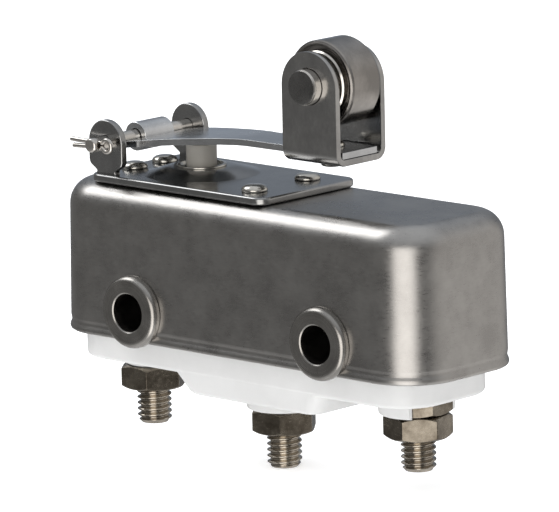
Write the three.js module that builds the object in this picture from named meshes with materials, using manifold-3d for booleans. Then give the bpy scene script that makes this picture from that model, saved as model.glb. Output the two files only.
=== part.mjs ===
// Basic limit switch with a short hinged roller lever, in millimetres, +Z up.
// X runs along the can, from the hinge end (-X) to the roller end (+X). Y runs across it, front at -Y.
// The origin is under the middle of the can, level with the end of the longest terminal stud.
import * as THREE from 'three';
import { mergeVertices } from 'three/addons/utils/BufferGeometryUtils.js';
import Module from 'manifold-3d';

const wasm = await Module();
wasm.setup();

// Driving dimensions. Heights count from the can's bottom edge, which is RIM_HEIGHT above the origin.
const RIM_HEIGHT = 12.45;
const CAN = { length: 49.8, width: 17.3, height: 15.4, corner: 5.6, topEdge: 2.6, wall: 0.8 };
const GAP = 0.03;

const BUSH = { pitch: 25.4, centreX: -0.1, height: 3.16, flange: 3.65, proud: 0.85, tube: 2.35, bore: 1.9 };
const BASE = { left: -23.5, right: 22.5, width: 14.0, corner: 4.4, bottom: -2.8, top: 1.0 };
const FLANGE = { halfLength: 23.7, halfWidth: 7.45, bottom: 0.3 };
const DEEP = { left: -8.6, right: 10.4, bottom: -4.8, corner: 1.6 };
const STUD = { radius: 1.75, top: 2.0, chamfer: 0.35 };
const NUT = { across: 6.0, height: 2.4, bore: 1.8 };
// Per terminal: stud axis x, stud end, lower face of the ceramic boss, boss radius, turn of the nut.
const TERMINALS = {
  common: { x: -18.5, end: -10.3, boss: -4.2, bossRadius: 2.8, turn: 1 },
  no: { x: -0.55, end: -12.45, boss: -6.4, bossRadius: 3.7, turn: 6 },
  nc: { x: 17.4, end: -10.3, boss: -4.55, bossRadius: 3.9, turn: 45 },
};
const LOCKNUT = { height: 1.72, turn: 37 };

const COVER = { length: 46.0, width: 13.6, bottom: 6.0, top: 14.3, roof: 12.4, cavityLength: 44.4, cavityWidth: 11 };

const PLUNGER = { x: -11.05, radius: 1.55, top: 19.42, bottom: 9.35, tip: 0.3, taper: 1.6 };
const GUIDE = { outer: 2.35, inner: 1.62, bottom: 13.0, top: 17.0 };

const PLATE = {
  left: -20.2, right: 3.8, halfWidth: 7.1, corner: 1.5, thick: 0.8, coneFoot: 6.1, coneTop: 2.9, coneRise: 0.7,
};
const PLATE_RIVETS = {
  at: [[-18.3, -2.2], [-18.3, 2.2], [0.1, -4.2], [0.1, 3.5]],
  head: 1.25, tail: 1.15, shank: 0.7, rise: 0.65,
};
const EAR = { outer: 6.4, thick: 0.8, halfWidth: 2.3, neck: 1.25, neckTop: 16.5, shoulder: 17.1 };

const HINGE = { x: -18.3, z: 19.4, pin: 0.75, front: -8.6, back: 7.2, headRadius: 1.1, headLength: 0.7 };
const COTTER = { y: -7.75, wire: 0.2, eye: 0.62, upperLeg: 3.3, lowerLeg: 2.4 };

const LEVER = {
  width: 5.0, rootWidth: 9.4, rootX: -17.4, taperX: -3.0, thick: 0.65, bore: 0.81, endX: 10.4,
  knuckle: 1.47, knuckleFront: -2.0, knuckleBack: 2.2,
};
// Middle line of the lever's sheet: from under the pin, rising in a shallow arch, then level.
const LEVER_LINE = [
  [LEVER.rootX, 19.06], [-13.2, 19.62], [-7.55, 20.2], [-3.74, 20.47], [1.6, 20.49], [LEVER.endX, 20.5],
];
const CURL_LINE = [[-17.77, 18.35], [-16.9, 18.86], [-15.2, 19.35]];

const ROLLER = { x: 7.0, z: 27.25, radius: 4.35, front: -1.9, back: 2.3, bore: 3.45 };
const HUB = { radius: 3.4, front: -2.25, back: 2.6, bore: 1.86 };
const ROLLER_PIN = { radius: 1.8, end: 4.7 };
const SPACER = { outer: 2.7, inner: 1.86, front: -2.9, back: -2.3 };
const BRACKET = { left: 3.4, right: 10.6, outer: 3.6, thick: 0.65, bend: 1.2, top: 20.14, domeZ: 27.1 };
const LEVER_RIVET = { x: 6.7, shank: 0.9, head: 1.3, headRise: 0.6, tailDrop: 0.6, clearance: 0.06 };

const BLADE = { pivotX: -16.0, z: 9.0, thick: 0.3, left: -17.5, right: 14.8, width: 6.4 };
const TONGUE = { left: -16.0, right: -7.0, width: 3.2, windowLeft: -16.25, windowRight: -6.7, windowWidth: 3.9 };
const CONTACT = { x: 13.5, radius: 1.1, moving: [8.5, 9.9], nc: [9.95, 10.5], no: [7.0, 7.55] };
const STRIP = { thick: 0.6, width: 4.6, foot: BASE.top + GAP };

// Materials
const steel = (name, color, roughness) => new THREE.MeshStandardMaterial({ name, color, roughness, metalness: 1 });
const plain = (name, color, roughness) => new THREE.MeshStandardMaterial({ name, color, roughness, metalness: 0 });
const MATERIALS = {
  can: steel('can', 0x8a8782, 0.38),
  bush: steel('bush', 0x9a968f, 0.25),
  plate: steel('plate', 0x77787a, 0.32),
  lever: steel('lever', 0x8b8f95, 0.28),
  roller: steel('roller', 0x8f8b86, 0.3),
  pin: steel('pin', 0x5f5c59, 0.3),
  terminal: steel('terminal', 0xb3aa98, 0.3),
  contact: steel('contact', 0xc9c6bf, 0.3),
  spring: steel('spring', 0xb98a4a, 0.35),
  ceramic: plain('ceramic', 0xe9e8e4, 0.45),
  plunger: plain('plunger', 0x9d9a90, 0.5),
};

// Geometry helpers
function toSolid(geometry) {
  const bare = geometry.clone();
  bare.deleteAttribute('normal');
  bare.deleteAttribute('uv');
  const merged = mergeVertices(bare, 1e-5);
  return new wasm.Manifold(new wasm.Mesh({
    numProp: 3,
    vertProperties: new Float32Array(merged.attributes.position.array),
    triVerts: new Uint32Array(merged.index.array),
  }));
}

function toGeometry(solid) {
  const mesh = solid.getMesh();
  const geometry = new THREE.BufferGeometry();
  geometry.setAttribute('position', new THREE.BufferAttribute(mesh.vertProperties, 3));
  geometry.setIndex(new THREE.BufferAttribute(mesh.triVerts, 1));
  geometry.computeVertexNormals();
  return geometry;
}

const join = (...pieces) => toGeometry(pieces.map(toSolid).reduce((a, b) => a.add(b)));
const cut = (piece, ...tools) => toGeometry(tools.map(toSolid).reduce((a, b) => a.subtract(b), toSolid(piece)));

function box(x0, x1, y0, y1, z0, z1) {
  const geometry = new THREE.BoxGeometry(x1 - x0, y1 - y0, z1 - z0);
  return geometry.translate((x0 + x1) / 2, (y0 + y1) / 2, (z0 + z1) / 2);
}

// A rod along 'x', 'y' or 'z'; at is its centre in the other two directions, in X, Y, Z order.
function rod(axis, radius, from, to, at, segments = 32) {
  const geometry = new THREE.CylinderGeometry(radius, radius, to - from, segments);
  const middle = (from + to) / 2;
  if (axis === 'x') return geometry.rotateZ(Math.PI / 2).translate(middle, at[0], at[1]);
  if (axis === 'y') return geometry.translate(at[0], middle, at[1]);
  return geometry.rotateX(Math.PI / 2).translate(at[0], at[1], middle);
}

// A turned piece about a line along Z (or along Y): profile points are [radius, height].
function turned(profile, at, axis = 'z', segments = 32) {
  const geometry = new THREE.LatheGeometry(profile.map(([r, h]) => new THREE.Vector2(r, h)), segments);
  if (axis === 'y') return geometry.translate(at[0], 0, at[1]);
  return geometry.rotateX(Math.PI / 2).translate(at[0], at[1], 0);
}

function roundedRect(x0, x1, y0, y1, radius) {
  const shape = new THREE.Shape();
  shape.absarc(x1 - radius, y0 + radius, radius, -Math.PI / 2, 0);
  shape.absarc(x1 - radius, y1 - radius, radius, 0, Math.PI / 2);
  shape.absarc(x0 + radius, y1 - radius, radius, Math.PI / 2, Math.PI);
  shape.absarc(x0 + radius, y0 + radius, radius, Math.PI, 1.5 * Math.PI);
  shape.closePath();
  return shape;
}

function prism(shape, z0, z1, curveSegments = 8) {
  const geometry = new THREE.ExtrudeGeometry(shape, { depth: z1 - z0, bevelEnabled: false, curveSegments });
  return geometry.translate(0, 0, z0);
}

// A prism whose outline is drawn in X and Z and which runs from y0 to y1.
function sidePrism(shape, y0, y1, curveSegments = 12) {
  const geometry = new THREE.ExtrudeGeometry(shape, { depth: y1 - y0, bevelEnabled: false, curveSegments });
  return geometry.rotateX(Math.PI / 2).translate(0, y1, 0);
}

function hexagon(across, turnDegrees) {
  const shape = new THREE.Shape();
  for (let corner = 0; corner < 6; corner += 1) {
    const angle = THREE.MathUtils.degToRad(turnDegrees + 60 * corner);
    const radius = across / Math.sqrt(3);
    if (corner === 0) shape.moveTo(radius * Math.cos(angle), radius * Math.sin(angle));
    else shape.lineTo(radius * Math.cos(angle), radius * Math.sin(angle));
  }
  shape.closePath();
  return shape;
}

// The rounded drawn form, inset all round, from below the rim up to its top.
function canForm(inset) {
  const edge = CAN.topEdge - inset;
  const halfLength = CAN.length / 2 - inset - edge;
  const halfWidth = CAN.width / 2 - inset - edge;
  const shape = roundedRect(-halfLength, halfLength, -halfWidth, halfWidth, CAN.corner - inset - edge);
  const top = CAN.height - inset;
  const depth = top + 4;
  const geometry = new THREE.ExtrudeGeometry(shape, {
    depth, bevelEnabled: true, bevelThickness: edge, bevelSize: edge, bevelSegments: 5, curveSegments: 6,
  });
  return geometry.translate(0, 0, top - edge - depth);
}

// The can
function caseShell() {
  const belowRim = box(-40, 40, -20, 20, -20, 0);
  const holes = [rod('z', GUIDE.outer + 0.1, CAN.height - 3, CAN.height + 1, [PLUNGER.x, 0])];
  for (const side of [-1, 1]) {
    const x = BUSH.centreX + side * BUSH.pitch / 2;
    holes.push(rod('y', BUSH.tube + 0.1, -CAN.width, CAN.width, [x, BUSH.height]));
  }
  for (const at of PLATE_RIVETS.at) {
    holes.push(rod('z', PLATE_RIVETS.shank + 0.05, CAN.height - 3, CAN.height + 1, at, 16));
  }
  return cut(canForm(0), canForm(CAN.wall), belowRim, ...holes);
}

function terminalBase() {
  const half = BASE.width / 2;
  const { halfLength, halfWidth } = FLANGE;
  const flange = roundedRect(-halfLength, halfLength, -halfWidth, halfWidth, CAN.corner - 1.2);
  const pieces = [
    prism(roundedRect(BASE.left, BASE.right, -half, half, BASE.corner), BASE.bottom, BASE.top),
    prism(flange, FLANGE.bottom, BASE.top),
    prism(roundedRect(DEEP.left, DEEP.right, -half, half, DEEP.corner), DEEP.bottom, 0),
  ];
  const cuts = [];
  for (const terminal of Object.values(TERMINALS)) {
    pieces.push(rod('z', terminal.bossRadius, terminal.boss, 0, [terminal.x, 0]));
    cuts.push(rod('z', STUD.radius + 0.1, -20, 10, [terminal.x, 0]));
  }
  for (const side of [-1, 1]) {
    cuts.push(rod('y', BUSH.tube + 0.3, -20, 20, [BUSH.centreX + side * BUSH.pitch / 2, BUSH.height]));
  }
  // Open side of the right-hand boss, which leaves the locknut in view.
  const { x, boss } = TERMINALS.nc;
  cuts.push(box(x + 1.9, x + 6, -6, 6, boss - 1, BASE.bottom));
  cuts.push(rod('z', NUT.across / Math.sqrt(3) + 0.08, boss - 1, BASE.bottom, [x, 0], 24));
  return cut(join(...pieces), ...cuts);
}

function contactCover() {
  const outer = roundedRect(-COVER.length / 2, COVER.length / 2, -COVER.width / 2, COVER.width / 2, 4);
  const innerLength = COVER.cavityLength / 2;
  const innerWidth = COVER.cavityWidth / 2;
  const inner = roundedRect(-innerLength, innerLength, -innerWidth, innerWidth, 2);
  const rivetTails = [];
  for (const at of PLATE_RIVETS.at) {
    rivetTails.push(rod('z', PLATE_RIVETS.tail + 0.15, COVER.top - 0.3, COVER.top + 1, at, 16));
  }
  return cut(
    prism(outer, COVER.bottom, COVER.top),
    prism(inner, COVER.bottom - 1, COVER.roof),
    rod('z', GUIDE.outer + 0.1, COVER.roof - 1, COVER.top + 1, [PLUNGER.x, 0]),
    ...rivetTails,
  );
}

function mountingBush(x) {
  const face = CAN.width / 2;
  const { flange, proud, tube, bore } = BUSH;
  const end = face + proud;
  const edge = 0.35;
  const mouth = 0.3;
  return turned([
    [bore, -end + mouth], [bore + mouth, -end], [flange - edge, -end], [flange, -end + edge],
    [flange, -face - GAP], [tube, -face - GAP], [tube, face + GAP], [flange, face + GAP],
    [flange, end - edge], [flange - edge, end], [bore + mouth, end], [bore, end - mouth], [bore, -end + mouth],
  ], [x, BUSH.height], 'y');
}

// Terminals
function terminalStud({ x, end }) {
  const { radius, top, chamfer } = STUD;
  const profile = [[0, end], [radius - chamfer, end], [radius, end + chamfer], [radius, top], [0, top]];
  return turned(profile, [x, 0], 'z', 24);
}

function hexNut(x, top, height, turn) {
  const shape = hexagon(NUT.across, turn);
  const blank = prism(shape, top - height, top).translate(x, 0, 0);
  return cut(blank, rod('z', NUT.bore, top - height - 1, top + 1, [x, 0], 24));
}

function strip(x0, x1, z, width = STRIP.width) {
  return box(x0, x1, -width / 2, width / 2, z, z + STRIP.thick);
}

function upright(x, z0, z1) {
  return box(x, x + STRIP.thick, -STRIP.width / 2, STRIP.width / 2, z0, z1);
}

function conductor(terminalX, pieces) {
  return cut(join(...pieces), rod('z', STUD.radius + 0.05, -2, STUD.top + 1, [terminalX, 0], 24));
}

const commonAnchor = () => conductor(TERMINALS.common.x, [
  strip(-21.5, -15.6, STRIP.foot), upright(-21.5, STRIP.foot, 8.8), strip(-21.5, -15.9, 8.2),
]);
const noStrip = () => conductor(TERMINALS.no.x, [
  strip(-3.2, 7.8, STRIP.foot), upright(7.2, STRIP.foot, 7.0), strip(7.2, 15.0, 6.4),
]);
const ncStrip = () => conductor(TERMINALS.nc.x, [
  strip(15.5, 21.5, STRIP.foot), upright(20.9, STRIP.foot, 11.1), strip(12.0, 21.5, 10.5),
]);

function contactRivet([bottom, top]) {
  return rod('z', CONTACT.radius, bottom, top, [CONTACT.x, 0], 24);
}

function contactBlade() {
  const { left, right, width, z, thick } = BLADE;
  const half = TONGUE.windowWidth / 2;
  return cut(
    box(left, right, -width / 2, width / 2, z, z + thick),
    box(TONGUE.windowLeft, TONGUE.windowRight, -half, half, z - 1, z + 1),
    rod('z', CONTACT.radius + 0.05, z - 1, z + 1, [CONTACT.x, 0], 24),
  );
}

function snapTongue() {
  const { left, right, width } = TONGUE;
  return box(left, right, -width / 2, width / 2, BLADE.z, BLADE.z + BLADE.thick);
}

// Plunger
function plunger() {
  const { x, radius, top, bottom, tip, taper } = PLUNGER;
  return turned([
    [0, bottom], [tip, bottom], [radius, bottom + taper], [radius, top - 0.22], [0.9, top - 0.05], [0, top],
  ], [x, 0]);
}

function plungerGuide() {
  const { outer, inner, bottom, top } = GUIDE;
  return turned([[inner, bottom], [outer, bottom], [outer, top], [inner, top], [inner, bottom]], [PLUNGER.x, 0]);
}

// Hinge plate with its ears
function ear(side) {
  const { halfWidth, neck, neckTop, shoulder, outer, thick } = EAR;
  const shape = new THREE.Shape();
  shape.moveTo(HINGE.x - neck, CAN.height + 0.1);
  shape.lineTo(HINGE.x + neck, CAN.height + 0.1);
  shape.lineTo(HINGE.x + neck, neckTop);
  shape.lineTo(HINGE.x + halfWidth, shoulder);
  shape.absarc(HINGE.x, HINGE.z, halfWidth, 0, Math.PI);
  shape.lineTo(HINGE.x - halfWidth, shoulder);
  shape.lineTo(HINGE.x - neck, neckTop);
  shape.closePath();
  const [y0, y1] = side < 0 ? [-outer, -outer + thick] : [outer - thick, outer];
  return sidePrism(shape, y0, y1);
}

function hingePlate() {
  const bottom = CAN.height + GAP;
  const top = bottom + PLATE.thick;
  const { left, right, halfWidth, corner } = PLATE;
  const sheet = prism(roundedRect(left, right, -halfWidth, halfWidth, corner), bottom, top);
  const cone = turned([
    [0, bottom], [PLATE.coneFoot, bottom], [PLATE.coneFoot, top], [PLATE.coneTop, top + PLATE.coneRise],
    [0, top + PLATE.coneRise],
  ], [PLUNGER.x, 0]);
  const holes = [
    rod('z', GUIDE.outer + 0.1, 0, 30, [PLUNGER.x, 0]),
    rod('y', HINGE.pin + 0.03, -10, 10, [HINGE.x, HINGE.z], 24),
    box(-30, 30, -20, 20, 0, bottom),
  ];
  for (const at of PLATE_RIVETS.at) holes.push(rod('z', PLATE_RIVETS.shank + 0.05, 0, 18, at, 16));
  return cut(join(sheet, cone, ear(-1), ear(1)), ...holes);
}

function plateRivet(at) {
  const seat = CAN.height + GAP + PLATE.thick + GAP;
  const underCan = CAN.height - CAN.wall - GAP;
  const { head, tail, shank, rise } = PLATE_RIVETS;
  return turned([
    [0, underCan - 0.25], [tail, underCan - 0.25], [tail, underCan], [shank, underCan], [shank, seat], [head, seat],
    [head * 0.86, seat + rise * 0.6], [head * 0.5, seat + rise], [0, seat + rise],
  ], at, 'z', 16);
}

// Hinge pin, with its head behind the rear ear, and the cotter through its front end
function hingePin() {
  const { x, z, pin, front, back, headRadius, headLength } = HINGE;
  const body = turned([
    [0, front], [pin - 0.15, front], [pin, front + 0.15], [pin, back - headLength], [headRadius, back - headLength],
    [headRadius, back], [0, back],
  ], [x, z], 'y', 24);
  return cut(body, rod('x', COTTER.wire * 2 + 0.1, x - 3, x + 3, [COTTER.y, z], 16));
}

function cotterPin() {
  const { y, wire, eye, upperLeg, lowerLeg } = COTTER;
  const eyeX = HINGE.x + HINGE.pin + 0.25 + eye;
  const legs = [
    rod('x', wire, HINGE.x - upperLeg, eyeX - eye + 0.1, [y, HINGE.z + wire * 0.9], 10),
    rod('x', wire, HINGE.x - lowerLeg, eyeX - eye + 0.1, [y, HINGE.z - wire * 0.9], 10),
  ];
  const ring = new THREE.TorusGeometry(eye, wire, 10, 24).rotateX(Math.PI / 2).translate(eyeX, y, HINGE.z);
  return join(ring, ...legs);
}

// Lever
function stripProfile(line) {
  const half = LEVER.thick / 2;
  const shape = new THREE.Shape();
  const below = line.map(([x, z]) => [x, z - half]);
  const above = line.map(([x, z]) => [x, z + half]).reverse();
  [...below, ...above].forEach(([x, z], index) => (index ? shape.lineTo(x, z) : shape.moveTo(x, z)));
  shape.closePath();
  return shape;
}

// The metal cut away beside the narrow part of the lever, on one side.
function leverFlank(side) {
  const { rootX, rootWidth, taperX, width, endX } = LEVER;
  const shape = new THREE.Shape();
  const corners = [
    [rootX - 1, rootWidth / 2], [rootX + 2, rootWidth / 2], [taperX, width / 2], [endX + 1, width / 2],
    [endX + 1, rootWidth], [rootX - 1, rootWidth],
  ];
  corners.forEach(([x, y], index) => (index ? shape.lineTo(x, side * y) : shape.moveTo(x, side * y)));
  shape.closePath();
  return prism(shape, 15, 25);
}

function lever() {
  const { rootWidth, knuckle, knuckleFront, knuckleBack, bore } = LEVER;
  const half = rootWidth / 2 + 0.2;
  return cut(
    join(
      sidePrism(stripProfile(LEVER_LINE), -half, half),
      sidePrism(stripProfile(CURL_LINE), knuckleFront, knuckleBack),
      rod('y', knuckle, knuckleFront, knuckleBack, [HINGE.x, HINGE.z]),
    ),
    leverFlank(-1),
    leverFlank(1),
    rod('y', bore, -10, 10, [HINGE.x, HINGE.z], 24),
    rod('z', LEVER_RIVET.shank + LEVER_RIVET.clearance, 0, 30, [LEVER_RIVET.x, 0], 20),
  );
}

function rollerBracket() {
  const { left, right, outer, thick, bend, top } = BRACKET;
  const middle = (left + right) / 2;
  const half = (right - left) / 2;
  const bottom = top - thick;
  // U section in Y and Z, extruded along X, then trimmed to the ears' round-topped outline.
  const section = new THREE.Shape();
  const high = 40;
  section.moveTo(-outer, high);
  section.lineTo(-outer, bottom + bend);
  section.absarc(-outer + bend, bottom + bend, bend, Math.PI, 1.5 * Math.PI);
  section.absarc(outer - bend, bottom + bend, bend, -0.5 * Math.PI, 0);
  section.lineTo(outer, high);
  section.lineTo(outer - thick, high);
  section.absarc(outer - bend, bottom + bend, bend - thick, 0, -0.5 * Math.PI, true);
  section.absarc(-outer + bend, bottom + bend, bend - thick, -0.5 * Math.PI, -Math.PI, true);
  section.lineTo(-outer + thick, high);
  section.closePath();
  const channel = new THREE.ExtrudeGeometry(section, { depth: right - left, bevelEnabled: false, curveSegments: 4 })
    .rotateX(Math.PI / 2).rotateZ(Math.PI / 2).translate(left, 0, 0);
  const face = new THREE.Shape();
  face.moveTo(left - 1, bottom - 1);
  face.lineTo(left - 1, high + 1);
  face.lineTo(right + 1, high + 1);
  face.lineTo(right + 1, bottom - 1);
  face.closePath();
  const outline = new THREE.Path();
  outline.moveTo(left, bottom - 0.5);
  outline.lineTo(right, bottom - 0.5);
  outline.absarc(middle, BRACKET.domeZ, half, 0, Math.PI);
  outline.closePath();
  face.holes.push(outline);
  return cut(
    channel,
    sidePrism(face, -10, 10),
    rod('y', ROLLER_PIN.radius + 0.03, -10, 10, [ROLLER.x, ROLLER.z]),
    rod('z', LEVER_RIVET.shank + LEVER_RIVET.clearance, 0, 24, [LEVER_RIVET.x, 0], 20),
  );
}

function leverRivet() {
  const { x, shank, head, headRise, tailDrop } = LEVER_RIVET;
  const seat = LEVER_LINE.at(-1)[1] + LEVER.thick / 2 + GAP;
  const under = BRACKET.top - BRACKET.thick - GAP;
  return turned([
    [0, under - tailDrop], [head * 0.8, under - tailDrop], [head, under], [shank, under], [shank, seat],
    [head, seat], [head * 0.8, seat + headRise], [0, seat + headRise],
  ], [x, 0], 'z', 16);
}

// Roller
function roller() {
  const { x, z, radius, front, back, bore } = ROLLER;
  const edge = 0.3;
  return turned([
    [bore, front], [radius - edge, front], [radius, front + edge], [radius, back - edge], [radius - edge, back],
    [bore, back], [bore, front],
  ], [x, z], 'y', 40);
}

function rollerHub() {
  const { radius, front, back, bore } = HUB;
  const profile = [[bore, front], [radius, front], [radius, back], [bore, back], [bore, front]];
  return turned(profile, [ROLLER.x, ROLLER.z], 'y');
}

function rollerPin() {
  const { radius, end } = ROLLER_PIN;
  const edge = 0.2;
  return turned([
    [0, -end], [radius - edge, -end], [radius, -end + edge], [radius, end - edge], [radius - edge, end], [0, end],
  ], [ROLLER.x, ROLLER.z], 'y');
}

function rollerSpacer() {
  const { outer, inner, front, back } = SPACER;
  const profile = [[inner, front], [outer, front], [outer, back], [inner, back], [inner, front]];
  return turned(profile, [ROLLER.x, ROLLER.z], 'y');
}

// The assembly
const assembly = new THREE.Group();
assembly.position.z = RIM_HEIGHT;

function add(name, geometry, material) {
  const mesh = new THREE.Mesh(geometry, MATERIALS[material]);
  mesh.name = name;
  assembly.add(mesh);
}

add('case_shell', caseShell(), 'can');
add('terminal_base', terminalBase(), 'ceramic');
add('contact_cover', contactCover(), 'ceramic');
add('mounting_bush_left', mountingBush(BUSH.centreX - BUSH.pitch / 2), 'bush');
add('mounting_bush_right', mountingBush(BUSH.centreX + BUSH.pitch / 2), 'bush');

for (const [name, terminal] of Object.entries(TERMINALS)) {
  add(`terminal_stud_${name}`, terminalStud(terminal), 'terminal');
  add(`terminal_nut_${name}`, hexNut(terminal.x, terminal.boss - GAP, NUT.height, terminal.turn), 'terminal');
}
add('terminal_locknut_nc', hexNut(TERMINALS.nc.x, BASE.bottom - GAP, LOCKNUT.height, LOCKNUT.turn), 'terminal');
add('common_anchor', commonAnchor(), 'terminal');
add('no_strip', noStrip(), 'terminal');
add('nc_strip', ncStrip(), 'terminal');
add('no_contact', contactRivet([CONTACT.no[0] + GAP, CONTACT.no[1]]), 'contact');
add('nc_contact', contactRivet([CONTACT.nc[0], CONTACT.nc[1] - GAP]), 'contact');
add('moving_contact', contactRivet(CONTACT.moving), 'contact');
add('contact_blade', contactBlade(), 'spring');
add('snap_tongue', snapTongue(), 'spring');
add('plunger', plunger(), 'plunger');
add('plunger_guide', plungerGuide(), 'plate');

add('hinge_plate', hingePlate(), 'plate');
PLATE_RIVETS.at.forEach((at, index) => add(`plate_rivet_${index + 1}`, plateRivet(at), 'plate'));
add('hinge_pin', hingePin(), 'pin');
add('cotter_pin', cotterPin(), 'pin');
add('lever', lever(), 'lever');
add('lever_rivet', leverRivet(), 'lever');
add('roller_bracket', rollerBracket(), 'lever');
add('roller', roller(), 'roller');
add('roller_hub', rollerHub(), 'pin');
add('roller_pin', rollerPin(), 'pin');
add('roller_spacer', rollerSpacer(), 'pin');

const limitSwitch = new THREE.Group();
limitSwitch.add(assembly);

export default limitSwitch;
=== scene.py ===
"""Limit switch with a short hinged roller lever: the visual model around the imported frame.

Lengths are in millimetres and heights count from the can's bottom edge.
put() turns them into the frame's metres.
"""
import math

import bmesh
import bpy
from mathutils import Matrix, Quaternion, Vector


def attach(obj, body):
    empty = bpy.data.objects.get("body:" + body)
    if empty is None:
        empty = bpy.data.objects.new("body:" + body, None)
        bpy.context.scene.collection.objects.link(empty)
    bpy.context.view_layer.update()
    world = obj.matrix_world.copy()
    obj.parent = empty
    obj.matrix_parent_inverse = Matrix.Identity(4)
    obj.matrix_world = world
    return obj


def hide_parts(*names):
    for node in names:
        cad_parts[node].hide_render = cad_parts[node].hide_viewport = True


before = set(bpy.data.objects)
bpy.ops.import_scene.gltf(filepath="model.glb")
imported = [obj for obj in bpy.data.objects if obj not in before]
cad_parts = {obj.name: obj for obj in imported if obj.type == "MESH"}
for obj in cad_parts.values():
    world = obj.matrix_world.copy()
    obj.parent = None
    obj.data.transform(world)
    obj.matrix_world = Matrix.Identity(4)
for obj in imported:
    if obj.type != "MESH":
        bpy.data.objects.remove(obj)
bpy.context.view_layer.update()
scene = bpy.context.scene

MM = 0.001
RIM = 12.45

# Driving dimensions
CAN_LENGTH, CAN_WIDTH, CAN_HEIGHT, CAN_CORNER, CAN_TOP_EDGE, CAN_WALL = 49.8, 17.3, 15.4, 5.6, 2.6, 0.8
CAN_DRAFT, CAN_WALL_INSET = 0.2, 0.1
GAP = 0.03
BUSH_X, BUSH_Z = (-12.8, 12.6), 3.16
BUSH_FLANGE, BUSH_PROUD, BUSH_TUBE, BUSH_BORE = 3.65, 0.85, 2.35, 1.9
STUD_RADIUS, STUD_TOP, THREAD_PITCH, THREAD_DEPTH = 1.75, 2.0, 0.6, 0.36
NUT_ACROSS, NUT_HEIGHT, NUT_BORE, LOCKNUT_HEIGHT, LOCKNUT_TURN = 6.0, 2.4, 1.8, 1.72, 37
BASE_BOTTOM, BASE_LEFT, BASE_RIGHT, BASE_CORNER, RIM_HALF = -2.8, -23.5, 22.5, 4.4, 23.7
TERMINALS = {
    "common": dict(x=-18.5, end=-10.3, boss=-4.2, radius=2.8, turn=1),
    "no": dict(x=-0.55, end=-12.45, boss=-6.4, radius=3.7, turn=6),
    "nc": dict(x=17.4, end=-10.3, boss=-4.55, radius=3.9, turn=45),
}
PLUNGER_X, PLUNGER_RADIUS, PLUNGER_TOP, PLUNGER_BOTTOM = -11.05, 1.55, 19.42, 9.35
PLATE_LEFT, PLATE_RIGHT, PLATE_HALF, PLATE_CORNER, PLATE_THICK = -20.2, 3.8, 7.1, 1.5, 0.8
PLATE_BOTTOM = CAN_HEIGHT + GAP
PLATE_TOP = PLATE_BOTTOM + PLATE_THICK
PLUNGER_OPENING, RIVET_HOLE, LEVER_RIVET_HOLE = 2.45, 0.75, 0.96
RIVETS = [(-18.3, -2.2), (-18.3, 2.2), (0.1, -4.2), (0.1, 3.5)]
HINGE_X, HINGE_Z, PIN_RADIUS = -18.3, 19.4, 0.75
EAR_OUTER, EAR_THICK = 6.4, 0.8
LEVER_WIDTH, LEVER_THICK, LEVER_END = 5.0, 0.65, 10.4
ROOT_WIDTH, ROOT_X, TAPER_X = 9.4, -17.4, -3.0
ROLLER_X, ROLLER_Z, ROLLER_RADIUS = 7.0, 27.25, 4.35
AXLE_RADIUS, AXLE_END = 1.8, 4.7
DOME_Z, LEVER_RIVET_X = 27.1, 6.7
BRACKET_LEFT, BRACKET_RIGHT, BRACKET_OUTER, BRACKET_THICK, BRACKET_TOP = 3.4, 10.6, 3.6, 0.65, 20.14


# Mesh helpers
def put(x, y, z):
    """A point of the drawing in the frame's metres."""
    return Vector((x, y, z + RIM)) * MM


def mesh_object(name, verts, faces):
    mesh = bpy.data.meshes.new(name)
    mesh.from_pydata([put(*v) for v in verts], [], faces)
    work = bmesh.new()
    work.from_mesh(mesh)
    bmesh.ops.recalc_face_normals(work, faces=work.faces)
    work.to_mesh(mesh)
    work.free()
    obj = bpy.data.objects.new(name, mesh)
    scene.collection.objects.link(obj)
    return obj


def bridge(rings, closed):
    """Faces between rings of vertex numbers; a ring of one number is a pole."""
    faces = []
    pairs = list(zip(rings, rings[1:])) + ([(rings[-1], rings[0])] if closed else [])
    for a, b in pairs:
        count = max(len(a), len(b))
        for i in range(count):
            j = (i + 1) % count
            quad = [a[i % len(a)], a[j % len(a)], b[j % len(b)], b[i % len(b)]]
            face = [v for k, v in enumerate(quad) if v not in quad[:k]]
            if len(face) > 2:
                faces.append(face)
    return faces


def turned(name, profile, at, axis="z", segments=64):
    """A turned piece: profile is (radius, height) and closes on itself or ends on the axis."""
    verts, rings = [], []
    for radius, height in profile:
        count = segments if radius > 1e-6 else 1
        rings.append(list(range(len(verts), len(verts) + count)))
        for i in range(count):
            angle = 2 * math.pi * i / segments
            u, v = radius * math.cos(angle), radius * math.sin(angle)
            verts.append((at[0] + u, at[1] + v, height) if axis == "z" else (at[0] + u, height, at[1] + v))
    return mesh_object(name, verts, bridge(rings, profile[0][0] > 1e-6))


def loft(name, rings, closed=False):
    """Rings of points with the same count, joined in order; open lofts get flat caps."""
    count = len(rings[0])
    numbers = [list(range(k * count, (k + 1) * count)) for k in range(len(rings))]
    faces = bridge(numbers, closed)
    if not closed:
        faces += [numbers[0], numbers[-1][::-1]]
    return mesh_object(name, [p for ring in rings for p in ring], faces)


def arc(cx, cy, radius, start, end, steps):
    """Points from start to end degrees, ends included."""
    out = []
    for k in range(steps + 1):
        angle = math.radians(start + (end - start) * k / steps)
        out.append((cx + radius * math.cos(angle), cy + radius * math.sin(angle)))
    return out


def rounded_rect(x0, x1, y0, y1, radius, steps=12):
    radius = max(radius, 0.02)
    corners = [(x1 - radius, y0 + radius, -90), (x1 - radius, y1 - radius, 0),
               (x0 + radius, y1 - radius, 90), (x0 + radius, y0 + radius, 180)]
    return [p for cx, cy, a in corners for p in arc(cx, cy, radius, a, a + 90, steps)]


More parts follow.
